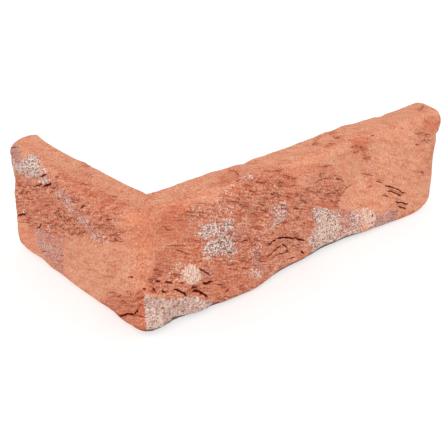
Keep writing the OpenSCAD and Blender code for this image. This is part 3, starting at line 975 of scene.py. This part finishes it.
def relief(base, u, v, kinds, ring):
    """Height of the relief over the base in millimetres, and the masks that colour it.

    What is placed on the unrolled skin fades out round the leg's end, over the rings of its arris.
    """
    shape = u.shape
    rng = np.random.default_rng(SEED)
    fade = smoothstep(CAP_ARC, 0.5 * CAP_ARC, ring)[:, None]
    layers = {}
    for name, (size, octaves, seed, _) in RELIEF_NOISE.items():
        layers[name] = fractal(base.reshape(-1, 3), size, octaves, seed).reshape(shape)
    coarse, fine = layers["coarse"], layers["fine"]
    folds = np.stack([u / FOLD_STRETCH, v + FOLD_SLOPE * np.abs(u), np.zeros_like(u)], -1)
    streak = fade * fractal(folds.reshape(-1, 3), *FOLD_NOISE).reshape(shape)
    ragged = COARSE_WANDER * coarse + STREAK_WANDER * streak + FINE_WANDER * fine

    bare = fade * zones(u, v, RED_ZONES, ragged)
    ember = fade * zones(u, v, EMBER_ZONES, ragged)
    lime = fade * zones(u, v, LIME_ZONES, ragged)
    mortar = fade * zones(u, v, MORTAR_ZONES, ragged)
    cream = fade * zones(u, v, CREAM_ZONES, CREAM_SHARE * ragged)
    violet = fade * zones(u, v, VIOLET_ZONES, ragged)
    crust = np.maximum(lime, mortar)
    calm = (1 - CRUST_CALM * crust) * (1 - cream)

    lips = LIPS + loose_lips(rng, loose_places(rng, u, v, bare * calm, LOOSE_LIPS), LIP_DROPS)
    pitted = (lime ** 2 + MORTAR_PITS * mortar) * (1 - cream)
    pits = PITS + loose_pits(rng, loose_places(rng, u, v, pitted, LOOSE_PITS))
    smooth_skin = np.where(v < OFF_SKIN, fade * (1 - bare) * calm, 0)
    lips += loose_lips(rng, loose_places(rng, u, v, smooth_skin, LOOSE_CREASES), CREASE_DROPS)
    cuts, gash_across, gash_half, gash = cut_gashes(u, v, fine)
    drops, lip_over, lip = drop_lips(u, v, lips, fine)
    holes = bore_pits(u, v, pits)
    hollow = cuts + drops * calm + holes

    on_back = kinds == SAWN_BACK
    plain = on_back | (kinds == LOWER_BED)
    height = sum(rise * layers[name] for name, (*_, rise) in RELIEF_NOISE.items())
    height += (SKIN_FOLD + BARE_FOLD * bare) * calm * streak + SKIN_RISE * (1 - bare)
    height += crust * (CRUST_RISE + CRUST_GRAIN * (fine + layers["grain"])) + CREAM_RISE * cream
    height -= hollow
    height *= np.where(plain, 1 - fade, 1) * smoothstep(*RELIEF_STARTS, base[..., 2])

    sawn = np.where(on_back, smoothstep(CAP_ARC, CAP_ARC - SAWN_FADE, ring)[:, None], 0)
    level = np.where(on_back, base[..., 2], fade * v + (1 - fade) * base[..., 2])
    # Painted shade: the tone darkens in the hollows of gashes, lips and pits
    tone = MEAN_TONE - BARE_DARKER * bare + COARSE_TONE * coarse - HOLLOW_PAINTED_SHADE * hollow
    tone += STREAK_TONE * streak * (STREAK_ON_SKIN + (1 - STREAK_ON_SKIN) * bare)
    tone += swells(u, v, PALE_SPOTS)
    # Painted shade over the rounded outer corner and the upper arris, against the key light's brighter band
    # there
    tone -= CORNER_PAINTED_SHADE * np.exp(-(u / CORNER_REACH) ** 2)
    tone -= ARRIS_PAINTED_SHADE * np.exp(-((v - ARRIS_LEVEL) / ARRIS_REACH) ** 2)
    masks = {
        "tone": tone,
        "bare": bare * calm,
        "rough": (GRIT_ON_SKIN + GRIT_MORE * (bare + crust)) * (1 - GRIT_LESS * sawn),
        "fold_u": u,
        "fold_w": level + FOLD_SLOPE * np.abs(u),
        # Gash and lip masks place the painted shade in gashes and under lips; the lips' strength also drives
        # their bump
        "gash": gash,
        "gash_across": gash_across,
        "gash_half": gash_half,
        "lip": lip * calm,
        "lip_over": lip_over,
        "ember": ember * (1 - crust) * (1 - cream),
        "lime": lime,
        "mortar": mortar,
        "cream": cream,
        "violet": violet,
        "pit": holes,
        "sawn": sawn,
        # Painted contact shadow along the stretcher's foot
        "foot": fade * painted_foot_shadow(u, v),
    }
    return height, masks


def close_end(z, kinds):
    """Triangles that join the front and the back of an end's inmost ring, level by level."""
    low, high = [int(np.median(np.flatnonzero(kinds == kind))) for kind in (LOWER_BED, UPPER_BED)]
    front = list(range(low + 1, high))
    back = [j % len(z) for j in range(low + len(z) - 1, high, -1)]
    triangles = [(low, front[0], back[0])]
    i = j = 0
    while i < len(front) - 1 or j < len(back) - 1:
        front_next = z[front[i + 1]] if i < len(front) - 1 else math.inf
        back_next = z[back[j + 1]] if j < len(back) - 1 else math.inf
        if front_next <= back_next:
            triangles.append((front[i], front[i + 1], back[j]))
            i += 1
        else:
            triangles.append((front[i], back[j + 1], back[j]))
            j += 1
    return triangles + [(front[-1], high, back[-1])]


def grid_faces(base, kinds):
    """Quads of the closed grid, and the triangles in the middle of each end."""
    ribs, rows = base.shape[:2]
    faces = []
    for k in range(ribs - 1):
        for j in range(rows):
            after = (j + 1) % rows
            faces.append((k * rows + j, (k + 1) * rows + j, (k + 1) * rows + after, k * rows + after))
    faces += close_end(base[0, :, 2], kinds)
    last = (ribs - 1) * rows
    faces += [(last + c, last + b, last + a) for a, b, c in close_end(base[-1, :, 2], kinds)]
    return faces


def make_slip():
    """The slip as one mesh that replaces its solid."""
    base, u, v, kinds, ring = base_skin()
    mesh = bpy.data.meshes.new("corner_slip")
    mesh.from_pydata((base.reshape(-1, 3) * MM).tolist(), [], grid_faces(base, kinds))
    mesh.update()
    normals = np.empty(base.size)
    mesh.vertices.foreach_get("normal", normals)
    height, masks = relief(base, u, v, kinds, ring)
    moved = base.reshape(-1, 3) + normals.reshape(-1, 3) * height.reshape(-1, 1)
    moved[:, 2] = np.maximum(moved[:, 2], 0)
    mesh.vertices.foreach_set("co", (moved * MM).ravel())
    for name, mask in masks.items():
        layer = mesh.attributes.new(name, "FLOAT", "POINT")
        layer.data.foreach_set("value", mask.ravel())
    mesh.polygons.foreach_set("use_smooth", [True] * len(mesh.polygons))
    mesh.update()
    piece = bpy.data.objects.new("corner_slip", mesh)
    bpy.context.collection.objects.link(piece)
    return piece


class Shader:
    """Short names for the nodes of the clay's material, and the grains that its colours share."""

    def __init__(self, name):
        self.material = bpy.data.materials.new(name)
        self.material.use_nodes = True
        self.tree = self.material.node_tree
        self.place = self.node("ShaderNodeTexCoord", "Object", {})
        skin = {"X": self.mask("fold_u"), "Y": self.mask("fold_w")}
        self.skin = self.node("ShaderNodeCombineXYZ", "Vector", skin)
        self.bare = self.mask("bare")
        self.lump = self.spread(self.noise(*LUMP_GRAIN))
        self.grit = self.spread(self.noise(*GRIT_GRAIN))
        self.dust = self.spread(self.noise(*DUST_GRAIN))

    def feed(self, inputs, values):
        """Link other nodes' results to a node's inputs, or set constants on them."""
        for key, value in values.items():
            if isinstance(value, bpy.types.NodeSocket):
                self.tree.links.new(value, inputs[key])
            else:
                inputs[key].default_value = value

    def node(self, kind, result, values, **settings):
        """Result of a new node with the given inputs and settings."""
        node = self.tree.nodes.new(kind)
        for key, value in settings.items():
            setattr(node, key, value)
        self.feed(node.inputs, values)
        return node.outputs[result]

    def mask(self, name):
        """A mask of the mesh."""
        return self.node("ShaderNodeAttribute", "Fac", {}, attribute_name=name)

    def noise(self, size_mm, detail):
        """Even noise in lumps of the given size."""
        values = {"Vector": self.place, "Scale": 1.0 / (size_mm * MM), "Detail": detail}
        return self.node("ShaderNodeTexNoise", "Fac", {**values, "Roughness": GRAIN_ROUGHNESS})

    def stretched(self, place, scales, detail):
        """Noise of a place that has its own scale along each axis."""
        scaled = self.node("ShaderNodeVectorMath", "Vector", {0: place, 1: scales}, operation="MULTIPLY")
        return self.node("ShaderNodeTexNoise", "Fac", {"Vector": scaled, "Scale": 1.0, "Detail": detail})

    def streaks(self, long_mm, wide_mm, detail):
        """Streaks along the folds of the skin."""
        return self.stretched(self.skin, (1.0 / long_mm, 1.0 / wide_mm, 0.0), detail)

    def saw_marks(self, long_mm, wide_mm, detail):
        """Level streaks left by the saw."""
        level = 1.0 / (long_mm * MM)
        return self.stretched(self.place, (level, level, 1.0 / (wide_mm * MM)), detail)

    def dots(self, size_mm, reach, share):
        """Round dots, of which a share shows."""
        values = {"Vector": self.place, "Scale": 1.0 / (size_mm * MM)}
        cell = self.node("ShaderNodeTexVoronoi", "Color", values)
        chance = self.node("ShaderNodeSeparateColor", "Red", {"Color": cell})
        dot = self.step(cell.node.outputs["Distance"], reach, DOT_CORE * reach)
        return self.times(self.math("LESS_THAN", chance, share), dot)

    def math(self, operation, a, b=0.0):
        """Result of one operation on two values."""
        return self.node("ShaderNodeMath", 0, {0: a, 1: b}, operation=operation)

    def times(self, a, b):
        """Product of two values."""
        return self.math("MULTIPLY", a, b)

    def total(self, start, *parts):
        """A start value plus each part times its weight."""
        for value, weight in parts:
            start = self.math("ADD", start, self.times(value, weight))
        return start

    def step(self, value, low, high):
        """0 at low, 1 at high, and smooth between."""
        values = {"Value": value, "From Min": low, "From Max": high}
        return self.node("ShaderNodeMapRange", "Result", values, interpolation_type="SMOOTHSTEP")

    def spread(self, value):
        """Noise moved so that its mean is 0."""
        return self.math("SUBTRACT", value, 0.5)

    def bell(self, value, width):
        """Bell curve of a value, 1 at 0."""
        part = self.math("DIVIDE", value, width)
        return self.math("POWER", math.e, self.times(self.times(part, part), -1.0))

    def ramp(self, value, stops):
        """Colour of a value on a ramp."""
        result = self.node("ShaderNodeValToRGB", "Color", {"Fac": value})
        elements = result.node.color_ramp.elements
        for place, _ in stops[2:]:
            elements.new(place)
        for element, (place, colour) in zip(elements, stops):
            element.position = place
            element.color = colour
        return result

    def mix(self, factor, under, over):
        """One colour over another by a factor."""
        values = {MIX_FACTOR: factor, MIX_UNDER: under, MIX_OVER: over}
        return self.node("ShaderNodeMix", MIX_RESULT, values, data_type="RGBA")

    def coat(self, under, over, cover, share):
        """One colour over another where it covers it, by a share."""
        return self.mix(self.times(cover, share), under, over)

    def bump(self, height, strength, distance_mm, under=None):
        """Normal of a fine height, over the normal of what lies under it."""
        values = {"Strength": strength, "Distance": distance_mm * MM, "Height": height}
        if under is not None:
            values["Normal"] = under
        return self.node("ShaderNodeBump", "Normal", values)


def clay_body(s, streak, groove):
    """Peach skin over the red body, with orange streaks, crimson grooves, pale grains and rust dots."""
    tone = s.total(
        # The tone mask carries painted shade in hollows and on the rounded outer corner and upper arris
        s.mask("tone"),
        (s.times(s.grit, s.mask("rough")), 1.3),
        (s.lump, 0.15),
        (s.dust, s.total(0.6, (s.bare, 0.3))),
        (s.spread(s.streaks(*BLOTCH_STREAKS)), 0.4),
        (streak, 1.4),
        (s.step(s.streaks(*SMEAR_STREAKS), 0.5, 0.7), -0.09),
    )
    colour = s.ramp(tone, CLAY_TONES)
    colour = s.coat(colour, MAUVE, s.step(s.noise(*MAUVE_GRAIN), 0.5, 0.68), s.times(s.bare, 0.3))
    colour = s.coat(colour, EMBER, s.step(s.streaks(*EMBER_STREAKS), 0.5, 0.68), 0.3)
    colour = s.coat(colour, EMBER, s.mask("ember"), 0.65)
    colour = s.coat(colour, CRIMSON, groove, 0.65)
    colour = s.coat(colour, PALE_GRAIN, s.dots(*PALE_DOTS), s.times(s.bare, 0.35))
    return s.coat(colour, RUST_DOT, s.dots(*RUST_DOTS), 0.45)


def bloom(s, colour):
    """Violet bloom, lime wash in flakes, mortar paste and cream lumps over the clay."""
    speckle = s.total(0.5, (s.grit, 2.6), (s.dust, 2.6))
    violet = s.step(s.total(s.mask("violet"), (s.lump, 1.2), (s.grit, 1.2)), 0.1, 1.0)
    colour = s.coat(colour, s.ramp(speckle, VIOLET_TONES), violet, 0.8)
    flake = s.spread(s.streaks(*FLAKE_STREAKS))
    lime = s.step(s.total(s.mask("lime"), (s.lump, 1.0), (flake, 1.6), (s.grit, 1.2)), 0.4, 0.85)
    powder = s.ramp(s.total(speckle, (flake, 1.4)), LIME_TONES)
    powder = s.coat(powder, PEPPER, s.dots(*LIME_DOTS), 0.8)
    colour = s.coat(colour, powder, lime, 0.92)
    mortar = s.step(s.total(s.mask("mortar"), (s.grit, 0.8)), 0.3, 0.6)
    paste = s.ramp(s.total(0.54, (s.grit, 1.8), (s.lump, 1.5)), MORTAR_TONES)
    paste = s.coat(paste, PEPPER, s.dots(*MORTAR_DOTS), 0.85)
    colour = s.coat(colour, paste, mortar, 0.95)
    cream = s.step(s.total(s.mask("cream"), (s.grit, 1.2)), 0.3, 0.7)
    return s.coat(colour, s.ramp(speckle, CREAM_TONES), cream, 0.9)


def painted_shade_lines(s, colour):
    """Painted shade in creases under lips and along ridges, in pits and gashes, and at the stretcher's foot.
    """
    # Painted shade in the creases along the ridges
    ridge = s.step(s.math("ABSOLUTE", s.spread(s.streaks(*RIDGE_STREAKS))), 0.03, 0.0)
    ridge = s.times(ridge, s.step(s.streaks(*RIDGE_BREAKS), 0.5, 0.62))
    # Painted shade under each lip's overhang
    nook = s.bell(s.math("ADD", s.mask("lip_over"), 0.15), 0.22)
    nook = s.times(nook, s.step(s.mask("lip"), 0.05, 0.5))
    crease = s.math("MAXIMUM", nook, s.times(s.times(ridge, s.bare), 0.55))
    colour = s.coat(colour, CREASE_PAINTED_SHADE, crease, 0.95)
    # Painted shade in the pits
    colour = s.mix(s.step(s.mask("pit"), 0.25, 0.7), colour, CREASE_PAINTED_SHADE)
    # Painted shade inside each gash, darkest at its core
    rim = s.math("SUBTRACT", s.math("ABSOLUTE", s.mask("gash_across")), s.mask("gash_half"))
    colour = s.coat(colour, CREASE_PAINTED_SHADE, s.step(rim, 0.35, 0.05), s.mask("gash"))
    colour = s.coat(colour, GASH_PAINTED_SHADE, s.step(rim, 0.1, -0.15), s.mask("gash"))
    # Painted contact shadow along the stretcher's foot
    return s.coat(colour, FOOT_PAINTED_SHADOW, s.mask("foot"), 0.85)


def sawn_cut(s, saw):
    """Sawn clay with the saw's marks, pale grains and rust dots."""
    tone = s.total(0.44, (s.grit, 0.5), (saw, 0.45), (s.spread(s.noise(*CUT_GRAIN)), 0.4))
    cut = s.ramp(tone, CLAY_TONES)
    cut = s.coat(cut, PALE_GRAIN, s.dots(*CUT_PALE_DOTS), 0.3)
    return s.coat(cut, RUST_DOT, s.dots(*CUT_RUST_DOTS), 0.5)


def fired_clay():
    """Matt clay: peach skin over a red body, lime and violet bloom, gashes with painted shade, and fine
    grit.
    """
    s = Shader("fired_clay")
    streak = s.times(s.spread(s.streaks(*FOLD_STREAKS)), s.bare)
    groove = s.times(s.step(s.streaks(*GROOVE_STREAKS), 0.5, 0.36), s.bare)
    lip = s.times(s.step(s.mask("lip_over"), -0.25, 0.2), s.mask("lip"))
    saw = s.spread(s.saw_marks(*SAW_MARKS))
    colour = painted_shade_lines(s, bloom(s, clay_body(s, streak, groove)))
    colour = s.mix(s.mask("sawn"), colour, sawn_cut(s, saw))
    normal = s.bump(s.grit, s.mask("rough"), 0.55)
    normal = s.bump(s.times(streak, 1.5), 1.0, 0.6, normal)
    normal = s.bump(s.times(groove, -1.0), 0.35, 0.5, normal)
    normal = s.bump(lip, 1.0, 0.6, normal)
    normal = s.bump(saw, s.mask("sawn"), 0.5, normal)
    s.feed(s.tree.nodes["Principled BSDF"].inputs, {
        "Base Color": colour,
        "Roughness": CLAY_ROUGHNESS,
        "Specular IOR Level": CLAY_GLOSS,
        "Normal": normal,
    })
    return s.material


def pale_floor():
    """Matt white with a faint glow of its own."""
    material = bpy.data.materials.new("pale_floor")
    material.use_nodes = True
    surface = material.node_tree.nodes["Principled BSDF"].inputs
    surface["Base Color"].default_value = (FLOOR_WHITE, FLOOR_WHITE, FLOOR_WHITE, 1)
    surface["Roughness"].default_value = FLOOR_ROUGHNESS
    surface["Emission Color"].default_value = (1, 1, 1, 1)
    surface["Emission Strength"].default_value = FLOOR_GLOW
    return material


def make_floor():
    """A wide pale floor that sweeps up into a round wall, which isn't part of the object."""
    profile = [(FLOOR_FLAT, 0)]
    for a in np.linspace(0, math.pi / 2, FLOOR_STEPS + 1)[1:]:
        profile.append((FLOOR_FLAT + FLOOR_SWEEP * math.sin(a), FLOOR_SWEEP * (1 - math.cos(a))))
    profile.append((FLOOR_FLAT + FLOOR_SWEEP, FLOOR_WALL))
    corners, faces = [], [tuple(range(FLOOR_SIDES))]
    for reach, z in profile:
        for k in range(FLOOR_SIDES):
            angle = 2 * math.pi * k / FLOOR_SIDES
            corners.append((reach * math.cos(angle), reach * math.sin(angle), z))
    for i in range(len(profile) - 1):
        low, high = i * FLOOR_SIDES, (i + 1) * FLOOR_SIDES
        for k in range(FLOOR_SIDES):
            after = (k + 1) % FLOOR_SIDES
            faces.append((low + k, high + k, high + after, low + after))
    mesh = bpy.data.meshes.new("floor")
    mesh.from_pydata(corners, [], faces)
    mesh.polygons.foreach_set("use_smooth", [False] + [True] * (len(faces) - 1))
    floor = bpy.data.objects.new("floor", mesh)
    bpy.context.collection.objects.link(floor)
    floor.visible_diffuse = False
    floor.visible_shadow = False
    floor.data.materials.append(pale_floor())
    return floor


def make_light():
    """White surroundings with a soft key from above, over the outer corner."""
    scene = bpy.context.scene
    scene.view_settings.view_transform = "Standard"
    world = bpy.data.worlds.new("studio")
    scene.world = world
    world.use_nodes = True
    sky = world.node_tree.nodes["Background"]
    sky.inputs["Color"].default_value = (1, 1, 1, 1)
    sky.inputs["Strength"].default_value = SKY_STRENGTH
    sun = bpy.data.lights.new("key", "SUN")
    sun.energy = KEY_STRENGTH
    sun.angle = math.radians(KEY_SOFTNESS)
    lamp = bpy.data.objects.new("key", sun)
    lamp.rotation_euler = (math.radians(90 - KEY_ELEVATION), 0, math.radians(KEY_AZIMUTH))
    bpy.context.collection.objects.link(lamp)


def make_camera():
    """Camera at the photograph's viewing angle."""
    azimuth, elevation = math.radians(VIEW_AZIMUTH), math.radians(VIEW_ELEVATION)
    flat = math.cos(elevation)
    back = Vector((math.sin(azimuth) * flat, -math.cos(azimuth) * flat, math.sin(elevation)))
    right = (-back).cross(Vector((0, 0, 1))).normalized()
    up = right.cross(-back)
    turn = Matrix((right, up, back)).transposed().to_4x4() @ Matrix.Rotation(math.radians(VIEW_ROLL), 4, "Z")
    data = bpy.data.cameras.new("camera")
    data.sensor_fit = "HORIZONTAL"
    data.sensor_width = SENSOR_MM
    data.lens = FOCAL_PIXELS / PHOTO_PIXELS * SENSOR_MM
    camera = bpy.data.objects.new("camera", data)
    spot = Vector(VIEW_TARGET) + back * VIEW_DISTANCE
    camera.matrix_world = Matrix.Translation(spot * MM) @ turn
    bpy.context.collection.objects.link(camera)
    bpy.context.scene.camera = camera


slip = make_slip()
slip.data.materials.append(fired_clay())
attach(slip, "root")
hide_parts(NODE)
make_floor()
make_light()
make_camera()
